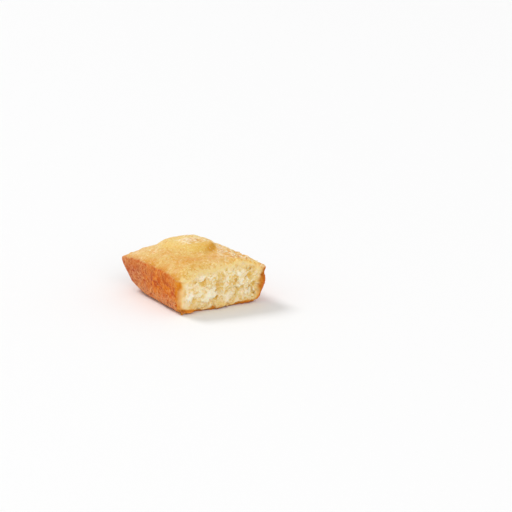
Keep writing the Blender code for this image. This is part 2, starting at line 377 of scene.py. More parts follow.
class Grid:
    """The millimetre grid that the cake's distance is sampled on."""

    def __init__(self, step):
        low = np.array((-LENGTH / 2, -WIDTH / 2, 0.0)) - GRID_MARGIN
        high = np.array((LENGTH / 2, WIDTH / 2, RIM_HEIGHT + RIM_ARCH + CROWN + BUMP))
        counts = np.ceil((high + GRID_MARGIN - low) / step).astype(int) + 1
        self.step = step
        self.low = low
        self.axes = [low[k] + step * np.arange(counts[k]) for k in range(3)]
        x, y, z = self.axes
        self.x = x[:, None, None]
        self.y = y[None, :, None]
        self.z = z[None, None, :]

    def points(self, chosen):
        """The places of the grid's chosen cells, one row each."""
        rows = np.nonzero(chosen)
        return np.stack([self.axes[k][rows[k]] for k in range(3)], axis=1).astype(np.float32)

    def cut_ball(self, values, rough, centre, radius, softness):
        """Takes a rough-walled ball out of the solid."""
        reach = BALL_REACH * radius + softness + self.step
        first = np.floor((centre - reach - self.low) / self.step).astype(int)
        last = np.ceil((centre + reach - self.low) / self.step).astype(int) + 1
        ranges = [
            slice(max(first[k], 0), max(min(last[k], len(self.axes[k])), 0)) for k in range(3)
        ]
        dx, dy, dz = [self.axes[k][ranges[k]] - centre[k] for k in range(3)]
        away = dx[:, None, None] ** 2 + dy[None, :, None] ** 2 + dz[None, None, :] ** 2
        if away.size:
            window = tuple(ranges)
            hole = radius * (1.0 + BALL_ROUGH * rough[window]) - np.sqrt(away)
            values[window] = soft_max(values[window], hole, softness)

    def surface(self, values):
        """Points in millimetres and four-sided faces where the distance is nothing."""
        volume = openvdb.FloatGrid(background=BAND_OUTSIDE)
        volume.copyFromArray(np.ascontiguousarray(values, dtype=np.float32))
        points, quads = volume.convertToQuads(isovalue=0.0)
        return points * self.step + self.low, quads


# ---- where things are
NOISES = {  # each one: seed, size of a cell, and strength, of one noise or two
    "torn_border": ((72, 3.4, 0.9), (73, 1.1, 1.1)),
    "rim_wobble": ((71, 1.7, 0.5),),
    "wall_bend": ((31, 1.3, 0.5), (36, 0.5, 0.2)),
    "wall_rough": ((33, 0.6, 0.03), (34, 3.5, 0.12)),
    "net_clear": ((37, 2.2, 1.0), (38, 1.0, 0.6)),
    "ring_x": ((47, 1.3, 0.65), (78, 0.6, 0.25)),
    "ring_y": ((77, 1.3, 0.65), (79, 0.6, 0.25)),
    "ring_break": ((49, 1.2, 1.0), (80, 0.5, 0.5)),
    "crease_bend": ((48, 1.1, 0.35),),
    "crease": ((46, 1.7, 1.0),),
    "top_broad": ((45, 2.8, 1.0),),
    "top_lumps": ((39, 2.4, 0.42), (40, 1.1, 0.16)),
    "end_lumps": ((40, 1.5, 1.0),),
    "edge_lumps": ((38, 2.8, 1.0),),
    "clump_bend": ((54, 1.5, 0.9), (57, 0.7, 0.3)),
    "crumb_bend": ((50, 1.8, 0.5),),
    "crumb_grains": ((53, 0.58, 1.0),),
    "crumb_clumps": ((51, 2.4, 0.3), (52, 1.2, 0.3)),
    "crumb_balls_bend": ((59, 0.6, 0.25),),
    "crumb_step": ((54, 3.4, 1.0), (55, 1.1, 0.5)),
    "crumb_broad": ((58, 5.0, 0.3),),
    "cut_edge": ((62, 1.5, 0.22), (63, 0.7, 0.16)),
    "cut_foot": ((74, 2.4, 0.9), (75, 1.0, 0.45)),
    "crust_thickness": ((61, 1.8, 0.6),),
    "foot_thickness": ((72, 3.2, 1.6),),
    "foot_brown": ((67, 1.3, 1.1), (72, 3.2, 1.1)),
    "from_cut": ((64, 3.0, 1.6), (65, 1.0, 0.6)),
    "torn_edge": ((68, 2.2, 1.2), (65, 0.8, 0.5)),
    "flaky": ((69, 1.4, 1.0), (70, 0.6, 0.5)),
    "toward_end": ((66, 4.0, 5.0),),
}
LAYERED_NOISES = {  # seed, size of the widest cell, and layers
    "top_grain": (41, 1.5, 3),
    "cell_walls": (64, 1.5, 3),
    "browning": (62, 4.5, 3),
    "edge_mottle": (76, 1.6, 2),
    "tone": (63, 4.0, 3),
}
FOAMS = {  # seed and size of a cell
    "wall_net": (32, 1.6),
    "small_net": (35, 0.75),
    "crumb_balls": (61, 0.9),
    "crumb_pores": (60, 1.6),
}
SPOTS = {  # place along and across, and reach along and across
    "shaded_flank": (7.8, 2.4, 5.5, 4.5),
    "on_dome": (-1.5, 0.0, 4.0, 6.5),
    "sunk_end": (-17.0, -3.0, 3.5, 5.0),
    "lifted_foot": (-17.0, -17.0, 5.0, 4.5),
    "valley": (14.0, -8.5, 4.5, 5.0),
    "valley_along": (5.0, -12.5, 8.0, 3.0),
    "behind_roll": (17.3, 0.5, 3.2, 8.0),
    "fold": (14.8, 0.5, 1.9, 8.0),
    "golden": (17.5, -2.0, 3.5, 5.0),
}
NEAR_WALL = (-11.0, -15.0)  # where the crumb's skin is thicker, toward -Y
SKIN_BY_WALL = 0.7
SKIN_FADE_BY_WALL = 2.2
TORN_NEAR = 3.3  # how far below the top the crumb opens, at the -Y side
TORN_FAR = 1.9  # and at the +Y side
TORN_ACROSS = (3.0, 9.0)
TORN_HIGH = 1.5  # and how much higher it opens in between
TORN_HIGH_BELL = (9.5, 4.5)  # a bell is a middle and a reach
TORN_EDGE = 1.7  # height over which it opens
TORN_FADE = 1.9  # and over which the skin's colour fades out above it
CRUMB_BEHIND = (3.4, 2.2)
FACE_BEHIND = (2.6, 1.0)
WALL_SPAN = (-0.7, 0.5)
OUTSIDE_SPAN = (1.6, 0.4)
BUMP_SPAN = (0.2, 1.2)
RINGS = (  # burst bubbles: place, reach along and across, and how deep
    (9.1, 6.8, 1.2, 1.2, 1.0),
    (12.2, 5.2, 1.3, 1.3, 1.0),
    (14.4, 8.2, 1.2, 1.2, 1.0),
    (11.6, 9.2, 1.0, 1.0, 1.0),
    (17.0, 10.6, 1.3, 1.0, 1.0),
    (6.2, 8.6, 1.1, 1.1, 1.0),
    (1.6, 0.0, 2.5, 4.9, 0.2),
    (0.2, 0.3, 1.9, 4.0, 0.1),
    (0.6, 1.8, 0.8, 1.5, 1.0),
    (-1.6, -3.2, 0.9, 1.6, 0.3),
    (3.4, 12.0, 1.6, 1.0, 0.8),
    (19.0, 13.0, 1.0, 1.0, 0.8),
    (21.2, 16.4, 0.8, 0.8, 1.0),
)
RING_FAR = 2.0  # how many reaches away a ring is still drawn
RING_WIDTH = 0.18
RING_WIDENING = 0.13  # a larger bubble has a wider rim
RING_SEED = 12
SMALL_RINGS = 16  # the small ones along the +Y side
SMALL_RING_ALONG = (-3.0, 21.0)
SMALL_RING_FAR = 17.0
SMALL_RING_NEAR = 7.5
SMALL_RING_TURN = 0.12
SMALL_RING_REACH = (0.7, 1.6)
SMALL_RING_LENGTH = (1.0, 1.6)
SMALL_RING_DEPTH = (0.1, 0.6)
CREST_RINGS = 14  # and those on the crest
CREST_ALONG = (-1.5, 1.8)
CREST_ACROSS = (0.0, 3.4)
CREST_RING_REACH = (0.4, 0.9)
CREST_RING_WIDTH = (1.2, 2.6)
CREST_RING_DEPTH = (0.3, 0.8)
CLUMPS = (  # the largest lumps and hollows of the torn crumb
    (-4.2, 6.6, 2.3, 0.9),    # place on the cut, radius, and how far each stands out
    (8.3, 9.0, 1.4, 0.8),
    (-13.4, 6.0, 1.8, 0.6),
    (-8.9, 13.3, 1.4, 0.55),
    (12.0, 5.6, 1.6, 0.35),
    (3.4, 4.4, 1.9, 0.4),
    (7.6, 13.0, 2.2, 0.4),
    (1.6, 12.0, 1.2, 0.3),
    (-7.9, 11.2, 1.2, -1.0),
    (-6.6, 8.0, 1.0, -0.9),
    (-2.2, 4.7, 0.9, -1.0),
    (5.5, 9.9, 1.1, -0.9),
    (12.3, 11.8, 0.9, -0.8),
    (13.7, 7.6, 1.1, -0.9),
    (-1.0, 9.6, 1.7, -0.7),
    (-11.4, 9.2, 1.2, -0.6),
    (9.6, 6.6, 1.0, -0.6),
)


def uneven(name, points):
    """The named noises together, each as strong as its row says."""
    return sum(strength * noise(seed, points, cell) for seed, cell, strength in NOISES[name])


def layered(name, points):
    """The named noise over finer and finer cells, each half as strong as the one before."""
    seed, cell, layers = LAYERED_NOISES[name]
    steps = [0.5 ** layer for layer in range(layers)]
    return sum(step * noise(seed + k, points, cell * step) for k, step in enumerate(steps))


def bent(start, points, name):
    """The places in start, moved along all axes by noises of the points."""
    for seed, cell, strength in NOISES[name]:
        start = start + strength * noise(seed, points, cell)[:, None]
    return start


def bell(value, middle, reach):
    """1 at the middle, fading over the reach on both sides."""
    return np.exp(-((value - middle) / reach) ** 2)


def spot(name, x, y):
    """1 at the named spot's middle, fading over its reaches."""
    middle_x, middle_y, reach_x, reach_y = SPOTS[name]
    return np.exp(-((x - middle_x) / reach_x) ** 2 - ((y - middle_y) / reach_y) ** 2)


class Places:
    """What part of the cake each point belongs to, as shares from 0 to 1."""

    def __init__(self, points):
        x, y, z = points.T
        face = cut_plane(z)
        mould = mould_distance(x, y, z)
        over_top = z - top_height(x, y)
        self.depth = -rounded_meet(mould, over_top, RIM_RADIUS)
        self.behind_cut = face - x
        face_depth = -crust_distance(face, y, z)
        near_wall = smooth_step(*NEAR_WALL, y)
        dense = CRUMB_SKIN + SKIN_BY_WALL * near_wall
        full = dense + CRUMB_FULL - CRUMB_SKIN + SKIN_FADE_BY_WALL * near_wall
        inside = smooth_step(dense, full, face_depth)
        crooked = uneven("torn_border", points)
        under_top = top_height(face, y) - z + crooked
        torn = blend(TORN_NEAR, TORN_FAR, smooth_step(*TORN_ACROSS, y))
        torn = torn - TORN_HIGH * bell(y, *TORN_HIGH_BELL)
        self.crumb = inside * smooth_step(torn - TORN_EDGE, torn + TORN_EDGE, under_top)
        self.crumb = self.crumb * smooth_step(*CRUMB_BEHIND, self.behind_cut)
        self.rolled = smooth_step(torn + TORN_EDGE, torn - TORN_FADE, under_top)
        self.under_top = under_top
        self.face = smooth_step(*FACE_BEHIND, self.behind_cut)
        wobble = uneven("rim_wobble", points)
        self.wall = smooth_step(*WALL_SPAN, mould - over_top + wobble)
        self.top = 1.0 - self.wall
        self.outside = smooth_step(*OUTSIDE_SPAN, self.depth)
        self.bump = smooth_step(*BUMP_SPAN, bump_height(x, y))


# ---- the fine relief
WALL_STRETCH = (0.8, 1.0, 1.0)
NET_RIDGE = 0.5  # width of a ridge of the walls' net
SMALL_NET_RIDGE = 0.25
SMALL_NET_SHARE = 0.8
NET_CLEAR = (-0.8, 0.4)
NET_FAINTEST = 0.5  # how much of the net and its pores is left where it is unclear
PORE_FAINTEST = 0.6
PORE_DEPTH = 0.05
PORE_DEEPER = 0.12  # and as much more, by the cell's own number
PORE_LEVEL = 0.3
SMALL_PORE_DEPTH = 0.08
SMALL_PORE_LEVEL = 0.2
RING_SHARE = (1.0, 0.7)  # a ring's floor, as shares of its reach
RING_BREAK = (-0.5, 0.4)
RING_STRENGTH = 0.6
WRINKLED = (3.0, 8.0, -6.0, 4.0)  # across and along
WRINKLED_TURN = 0.25
WRINKLE_STRETCH = (0.42, 1.0, 1.0)
CREASE_STEEP = 1.3
GRAIN_RISE = 0.09  # heights on the top, and how much less each is on the bump
GRAIN_LESS = 0.04
BROAD_RISE = 0.2
BROAD_LESS = 0.15
WRINKLE_RISE = 0.05
WRINKLE_ON_DOME = 0.2
WRINKLE_BY_EDGE = 0.5
WRINKLE_LEVEL = 0.4
RIM_ACROSS = (14.0, 18.0)
RIM_ALONG = (-16.0, -20.5)
END_LUMPS = 0.3
EDGE_LUMPS = 0.3
SUNK_END = 0.8  # fitted to the skyline of the photograph
SUNK_SIDE = 0.8
SUNK_SIDE_BELL = (8.5, 6.0)
SUNK_SIDE_ACROSS = (11.0, 16.0)
SUNK_ALL = 0.15
RING_RISE = 0.45
RING_SINK = 0.28
CLUMP_STEEP = 1.5
GRAIN_SHARE = 0.45  # the crumb's grains, and their part in its ragged steps
STEP_GRAIN = 0.25
BALL_RISE = 0.25  # the crumb's small balls
BALL_HIGHER = 0.45
BALL_SPAN = (0.6, 0.1)
STEP_SPAN = (-0.3, 0.3)
STEP_RISE = 0.25
PORES = (0.65, 0.15, 0.5, 0.8)  # from a pore's middle, and by its own number
PORE_SINK = 0.5
CRUMB_LEVEL = 0.4
CALM_ON_CLUMPS = 0.3
CLUMPS_OUT = (0.1, 0.6)
CLUMP_RISE = 0.95
RAGGED = (1.6, 0.3, 2.2, 0.8)  # the edge round the cut: behind it, and below the crust
RAGGED_CORNER = 0.3
RAGGED_PLACE = (10.0, 17.0, 12.0, 9.0)  # across and in height
FOOT_LEVEL = 0.15
FOOT_HEIGHT = (3.2, 1.2)
FOOT_LIFT = 1.5  # the foot that is rounded up at the uncut end
LIFT_HEIGHT = (4.5, 0.8)
CELL_ROUGH = 1.6
CELL_OUT = 0.3  # how far out a cell's middle lies, and its size, in radii
CELL_SIZE = 0.5
CELL_SOFTNESS = 0.3
LEAST = 0.01  # a share below this is left out


def wall_relief(points):
    """The net of shallow pores that a mould leaves on a baked wall."""
    stretched = points * np.array(WALL_STRETCH, dtype=np.float32)
    places = bent(stretched, points, "wall_bend")
    nearest, second, number = foam("wall_net", places)
    ridge = smooth_step(NET_RIDGE, 0.0, second - nearest)
    nearest, second, _ = foam("small_net", places)
    small_ridge = smooth_step(SMALL_NET_RIDGE, 0.0, second - nearest)
    clear = uneven("net_clear", points)
    clear = smooth_step(*NET_CLEAR, clear)
    pore = (PORE_DEPTH + PORE_DEEPER * number) * (ridge - PORE_LEVEL)
    pore = pore + SMALL_PORE_DEPTH * (small_ridge - SMALL_PORE_LEVEL)
    pore = blend(PORE_FAINTEST, 1.0, clear) * pore
    net = np.maximum(ridge, SMALL_NET_SHARE * small_ridge)
    net = net * blend(NET_FAINTEST, 1.0, clear)
    return pore + uneven("wall_rough", points), net, number


def small_rings():
    """Seeded small burst bubbles, crowded together along the +Y side of the top."""
    rng = random.Random(RING_SEED)
    marks = []
    for _ in range(SMALL_RINGS):
        x = rng.uniform(*SMALL_RING_ALONG)
        y = rng.uniform(SMALL_RING_NEAR - SMALL_RING_TURN * x, SMALL_RING_FAR)
        reach = rng.uniform(*SMALL_RING_REACH)
        along = reach * rng.uniform(*SMALL_RING_LENGTH)
        marks.append((x, y, along, reach, rng.uniform(*SMALL_RING_DEPTH)))
    for _ in range(CREST_RINGS):
        x = rng.gauss(*CREST_ALONG)
        y = rng.gauss(*CREST_ACROSS)
        reach = rng.uniform(*CREST_RING_REACH)
        across = reach * rng.uniform(*CREST_RING_WIDTH)
        marks.append((x, y, reach, across, rng.uniform(*CREST_RING_DEPTH)))
    return marks


def rings(points):
    """Shares of the burst bubbles' rims and floors; the rims' whitish colour is partly a painted
    highlight.
    """
    x = points[:, 0] + uneven("ring_x", points)
    y = points[:, 1] + uneven("ring_y", points)
    rim = np.zeros(len(points), dtype=np.float32)
    floor = np.zeros(len(points), dtype=np.float32)
    for ring_x, ring_y, along, across, depth in RINGS + tuple(small_rings()):
        near = np.abs(x - ring_x) < RING_FAR * along
        away = np.hypot((x[near] - ring_x) / along, (y[near] - ring_y) / across)
        width = RING_WIDTH / min(along, across) + RING_WIDENING
        strength = blend(RING_STRENGTH, 1.0, depth)
        rim[near] = np.maximum(rim[near], strength * np.exp(-((away - 1.0) / width) ** 2))
        floor[near] = np.maximum(floor[near], depth * smooth_step(*RING_SHARE, away))
    broken = uneven("ring_break", points)
    return rim * smooth_step(*RING_BREAK, broken), floor


def wrinkles(points):
    """Shares of the two places where the top's skin is wrinkled, and its creases."""
    x, y, _ = points.T
    by_edge = within(WRINKLED, y + WRINKLED_TURN * x, x)
    stretched = points * np.array(WRINKLE_STRETCH, dtype=np.float32)
    crease = uneven("crease", bent(stretched, points, "crease_bend"))
    crease = 1.0 - CREASE_STEEP * np.abs(crease)
    return by_edge, spot("on_dome", x, y), np.clip(crease, 0.0, 1.0) ** 2


def top_relief(points, bump):
    """The grain, wrinkles, burst bubbles and uneven rim of the top."""
    x, y, _ = points.T
    rim, floor = rings(points)
    by_edge, on_dome, crease = wrinkles(points)
    grain = (GRAIN_RISE - GRAIN_LESS * bump) * layered("top_grain", points)
    broad = (BROAD_RISE - BROAD_LESS * bump) * uneven("top_broad", points)
    wrinkle = WRINKLE_RISE + WRINKLE_ON_DOME * on_dome + WRINKLE_BY_EDGE * by_edge
    wrinkle = wrinkle * (crease - WRINKLE_LEVEL)
    at_end = smooth_step(*RIM_ALONG, x)
    by_rim = np.maximum(smooth_step(*RIM_ACROSS, y), at_end)
    lumps = uneven("top_lumps", points)
    lumps = lumps + END_LUMPS * at_end * uneven("end_lumps", points)
    lumpy = by_rim * lumps + EDGE_LUMPS * by_edge * uneven("edge_lumps", points)
    sunk_side = SUNK_SIDE * bell(x, *SUNK_SIDE_BELL)
    sunk_side = sunk_side * smooth_step(*SUNK_SIDE_ACROSS, y)
    sunken = SUNK_END * spot("sunk_end", x, y) + sunk_side + SUNK_ALL
    return grain + broad + lumpy - sunken + wrinkle + RING_RISE * rim - RING_SINK * floor


def clumped(points):
    """How far the largest lumps and hollows of the crumb stand out."""
    places = bent(points, points, "clump_bend")
    rise = np.zeros(len(points), dtype=np.float32)
    for across, height, radius, out in CLUMPS:
        away = (places[:, 1] - across) ** 2 + (places[:, 2] - height) ** 2
        rise += out * np.exp(-(away / radius ** 2) ** CLUMP_STEEP)
    return rise


def crumb_relief(points):
    """The clumps of torn crumb, their grains and ragged steps, and the pores between them."""
    places = bent(points, points, "crumb_bend")
    grains = uneven("crumb_grains", points)
    clumps = uneven("crumb_clumps", places)
    clumps = clumps + GRAIN_SHARE * grains
    nearest, _, number = foam("crumb_balls", bent(points, points, "crumb_balls_bend"))
    balls = (BALL_RISE + BALL_HIGHER * number) * smooth_step(*BALL_SPAN, nearest)
    step = uneven("crumb_step", points)
    step = smooth_step(*STEP_SPAN, step + STEP_GRAIN * grains) - 0.5
    far, _, chance = foam("crumb_pores", places)
    relief = clumps + balls + STEP_RISE * step - PORE_SINK * within(PORES, far, chance)
    relief = relief + uneven("crumb_broad", points) - CRUMB_LEVEL
    out = clumped(points)
    return relief * (1.0 - CALM_ON_CLUMPS * smooth_step(*CLUMPS_OUT, out)) + CLUMP_RISE * out


def cut_edge_relief(points):
    """The crumbly edge round the cut, ragged at its +Y corner and frayed at its foot."""
    _, y, z = points.T
    crumbly = uneven("cut_edge", points)
    crumbly = crumbly + RAGGED_CORNER * within(RAGGED_PLACE, y, z)
    foot = uneven("cut_foot", points) - FOOT_LEVEL
    return crumbly + foot * smooth_step(*FOOT_HEIGHT, z)


def fine_relief(points, places):
    """How far the cake's skin and its crumb stand out at each point."""
    relief = np.zeros(len(points), dtype=np.float32)

    def press(share, made):
        on = share > LEAST
        relief[on] += share[on] * made(on)

    press(places.outside * places.wall, lambda on: wall_relief(points[on])[0])
    press(places.outside * places.top, lambda on: top_relief(points[on], places.bump[on]))
    ragged = within(RAGGED, places.behind_cut, places.depth)
    press(ragged, lambda on: places.wall[on] * cut_edge_relief(points[on]))
    press(places.crumb, lambda on: crumb_relief(points[on]))
    return relief


def carve_cells(grid, values, rough):
    """Opens the seeded cells of the crumb, each as wide as the crumb is open there."""
    for across, height, radius, out in crumb_cells():
        face = float(cut_plane(np.array(height)))
        centre = np.array((face + out + CELL_OUT * radius, across, height))
        place = Places(np.array([[face, across, height]]))
        size = CELL_SIZE * radius * float(place.crumb[0])
        if size > grid.step:
            grid.cut_ball(values, rough, centre, size, CELL_SOFTNESS)


def carve_cake(grid):
    """The cake's distance at every place of the grid, with its relief and cells."""
    face = cut_plane(grid.z)
    skin = -crust_distance(face, grid.y, grid.z)
    swell = CRUMB_SWELL * wave_sum(plane_waves(*CRUMB_WAVES), face, grid.y, grid.z)
    swell = swell * smooth_step(CRUMB_SKIN, CRUMB_FULL, skin)
    values = cake_distance(grid.x, grid.y, grid.z, swell).astype(np.float32)
    band = (values > BAND_INSIDE) & (values < BAND_OUTSIDE)
    points = grid.points(band)
    places = Places(points)
    x, y, z = points.T
    lifted = spot("lifted_foot", x, y) * smooth_step(*LIFT_HEIGHT, z)
    values[band] = values[band] - fine_relief(points, places) + FOOT_LIFT * lifted

    crumb = places.crumb > LEAST
    pitted = np.zeros(len(points), dtype=np.float32)
    pitted[crumb] = CELL_ROUGH * layered("cell_walls", points[crumb])
    rough = np.zeros_like(values)
    rough[band] = pitted
    carve_cells(grid, values, rough)
    return values


# ---- the material
def linear(red, green, blue):
    """A colour of the screen, 0 to 255, as the renderer's linear light."""
    parts = []
    for value in (red, green, blue):
        value = value / 255.0
        parts.append(value / 12.92 if value <= 0.04045 else ((value + 0.055) / 1.055) ** 2.4)
    return tuple(parts) + (1.0,)


PATCHES = {  # the span of a noise, its size, detail, roughness, and distortion if any
    "bright": (0.42, 0.64, 5.0, 3.0, 0.5),
    "fine": (0.35, 0.65, 0.9, 3.0, 0.6),
    "dusty": (0.5, 0.56, 2.2, 3.0, 0.5),
    "burnt": (0.53, 0.6, 1.3, 3.0, 0.5),
    "speckle": (0.42, 0.58, 0.8, 2.0, 0.5),
    "floury": (0.53, 0.62, 1.5, 3.0, 0.6),
    "reddish": (0.46, 0.37, 1.9, 3.0, 0.6),
    "grain": (0.32, 0.68, 0.9, 4.0, 0.65),
    "light": (0.49, 0.64, 3.4, 4.0, 0.65, 0.3),
    "ruddy": (0.5, 0.66, 4.2, 3.0, 0.6, 0.4),
    "speck": (0.56, 0.7, 0.65, 3.0, 0.7),
    "patchy": (0.42, 0.6, 1.8, 3.0, 0.6),
    "grit": (0.46, 0.34, 1.0, 3.0, 0.7),
    "creamy": (0.42, 0.58, 4.5, 2.0, 0.5),
    "coarse": (0.42, 0.6, 0.8, 4.0, 0.75),
    "flour": (0.54, 0.66, 0.6, 3.0, 0.7, 0.2),
    "yellow": (0.5, 0.38, 2.8, 2.0, 0.5, 0.4),
    "white": (0.5, 0.62, 2.8, 2.0, 0.5, 0.4),
}
DEPTHS = {  # an attribute, and the span
    "wall_deep_shade": ("cavity", 0.02, 0.14),
    "wall_proud_highlight": ("cavity", -0.01, -0.09),
    "top_low_shade": ("hollow", 0.02, 0.22),
    "top_proud_highlight": ("cavity", -0.01, -0.08),
    "top_pore_shade": ("cavity", 0.02, 0.1),
    "lump_highlight": ("clump", 0.05, 0.55),
    # the crumb's large hollows, where shade is painted
    "sunken": ("clump", -0.05, -0.5),
    "raised_highlight": ("hollow", 0.05, -0.45),
    "crumb_proud_highlight": ("cavity", 0.0, -0.14),
    "pit_shade": ("hollow", 0.1, 0.6),
    "crumb_pore_shade": ("cavity", 0.0, 0.14),
    "by_crust": ("depth", 6.0, 2.0),
    "under_wall": ("depth", 0.35, 0.65),
    "under_top": ("depth", 0.35, 0.8),
}
WALL_CELLS = ((0.2, (182, 46, 0)), (0.4, (199, 68, 0)), (0.6, (216, 96, 0)), (0.8, (236, 132, 2)))
CELL_LAYERS = (  # shares, how strong, and the colour that is laid over
    ("bright", 0.55, (232, 124, 8)),
    ("toward_end", 0.65, (170, 40, 0)),
    # painted shade in the wall's sunken pores
    ("wall_deep_shade", 0.6, (190, 62, 0)),
    # paler, pinker patches on the lower wall
    ("dusty low", 0.6, (240, 170, 106)),
    ("burnt low", 0.9, (156, 46, 0)),
)
# the net's ridges are painted paler and pinker: a painted highlight on the glossy rims of the
# pores
RIDGE_HIGHLIGHT_COLOUR = (200, 98, 16)
RIDGE_HIGHLIGHT_LAYERS = (
    ("fine", 1.0, (240, 182, 106)),
    # painted highlight where the wall stands proud
    ("wall_proud_highlight", 0.6, (242, 176, 120)),
    ("low", 0.6, (236, 164, 106)),
    ("toward_end", 0.6, (230, 162, 112)),
)
# how much of the ridges' painted highlight shows: speckled, and starker at the foot and the uncut
# end
NET_SPECKLE = 0.5
NET_AT_END = 0.5
NET_STARKER = 0.4
WALL_LAYERS = (
    ("burnt low", 0.4, (164, 56, 4)),
    # paler patches low on the wall and toward the uncut end
    ("floury worn", 0.35, (242, 186, 138)),
    ("reddish worn", 0.4, (178, 60, 2)),
    ("edge", 0.75, (232, 156, 28)),
    ("near_rim", 0.3, (216, 138, 66)),
    ("brown", 0.45, (146, 76, 22)),
)
UNDER_WALL = (  # depth in millimetres, and colour
    (0.5, (208, 118, 28)),
    (1.0, (220, 140, 44)),
    (1.5, (230, 172, 84)),
    (2.1, (236, 198, 124)),
    (2.9, (238, 212, 150)),
)
UNDER_WALL_LAYERS = (("brown", 0.6, (168, 98, 28)),)
TORN_LAYERS = (("torn", 0.8, (238, 198, 134)),)
TOP_COLOUR = (220, 171, 86)
TOP_LAYERS = (
    ("grain", 1.0, (236, 209, 138)),
    ("light", 0.6, (246, 221, 170)),
    ("ruddy", 0.5, (223, 153, 66)),
    ("bump", 0.6, (234, 199, 102)),
    # painted shade in the top's hollows
    ("top_low_shade", 0.7, (214, 140, 54)),
    # painted highlight on the top's proud grains
    ("top_proud_highlight", 0.8, (248, 226, 178)),
    # painted shade in the top's small pores
    ("top_pore_shade", 0.6, (216, 148, 62)),
    ("toward_end", 0.28, (242, 208, 170)),
    ("brown", 1.0, (214, 136, 14)),
    ("by_edge", 0.55, (223, 168, 92)),
    # paler colour over the dome's wrinkled back: partly paler skin, partly a painted sheen
    ("on_dome", 0.6, (243, 213, 160)),
    ("floor", 0.75, (218, 140, 52)),
    # whitish burst-bubble rims: a painted highlight, partly paler skin
    ("rim", 0.9, (254, 243, 214)),
    # the wrinkles' ridges painted whitish: partly paler skin, partly a painted highlight
    ("wrinkle", 0.75, (252, 236, 196)),
    # painted shade on the bump's steep flank, darker and more golden
    ("shaded_flank", 0.85, (215, 150, 32)),
)
DRAWN_COLOUR = (228, 180, 84)
# pale specks on the drawn skin: partly sugar-like grains, partly painted glints
DRAWN_LAYERS = (("patchy", 1.0, (246, 217, 146)), ("speck", 0.9, (250, 236, 188)))
DRAWN_SHARE = 0.85
FLECKS = 0.6
FLECKS_AT_END = 0.3
# pale flecks are partly sugar-like grains, partly painted glints; the darker ones are grit
FLECK_LAYERS = (
    ("pale", 0.9, (240, 214, 152)),
    ("speck flecks", 1.0, (252, 238, 198)),
    ("grit flecks", 1.0, (221, 156, 62)),
)
UNDER_TOP = ((0.4, (238, 206, 132)), (1.2, (239, 212, 146)), (2.2, (240, 218, 164)))
CRUMB_COLOUR = (233, 205, 138)
CRUMB_GRAIN = (237, 211, 148)
CRUMB_GRAIN_SHARE = 0.6
CRUMB_LAYERS = (
    # painted shade, warm and golden, in the crumb's large hollows
    ("sunken", 0.8, (228, 188, 96)),
    # painted highlight where the crumb stands above its surroundings
    ("raised_highlight", 0.4, (248, 239, 216)),
    # painted highlight on the crumb's proud grains
    ("crumb_proud_highlight", 0.5, (250, 243, 224)),
    ("flour", 0.35, (252, 245, 226)),
    # painted shade, golden, in the crumb's pits
    ("pit_shade", 0.8, (230, 188, 92)),
    # painted shade, golden, in the crumb's small pores
    ("crumb_pore_shade", 0.7, (230, 184, 90)),
    ("yellow", 0.55, (225, 188, 104)),
    ("white", 0.5, (250, 240, 216)),
    # painted highlight on the crumb's large lumps
    ("lump_highlight", 0.65, (250, 243, 224)),
    ("by_crust", 0.6, (235, 200, 134)),
)
SKIN_SPAN = 4.0  # millimetres of depth that a ramp spans
BUMP_DEPTH = 0.16
FINE_BUMP = (0.35, 3.0, 0.6)
FINE_BUMP_SHARE = 0.25
CRUMB_BUMP = (0.5, 3.0, 0.65)
ROUGH_PATCHES = (1.6, 3.0)
ROUGH_SPAN = {"From Min": 0.3, "From Max": 0.7, "To Min": 0.4, "To Max": 0.65}
SHADER = {
    "Specular IOR Level": 0.06,
    "Subsurface Weight": 0.2,
    "Subsurface Radius": (1.0, 0.55, 0.25),
    "Subsurface Scale": 1.0 * MM,
}


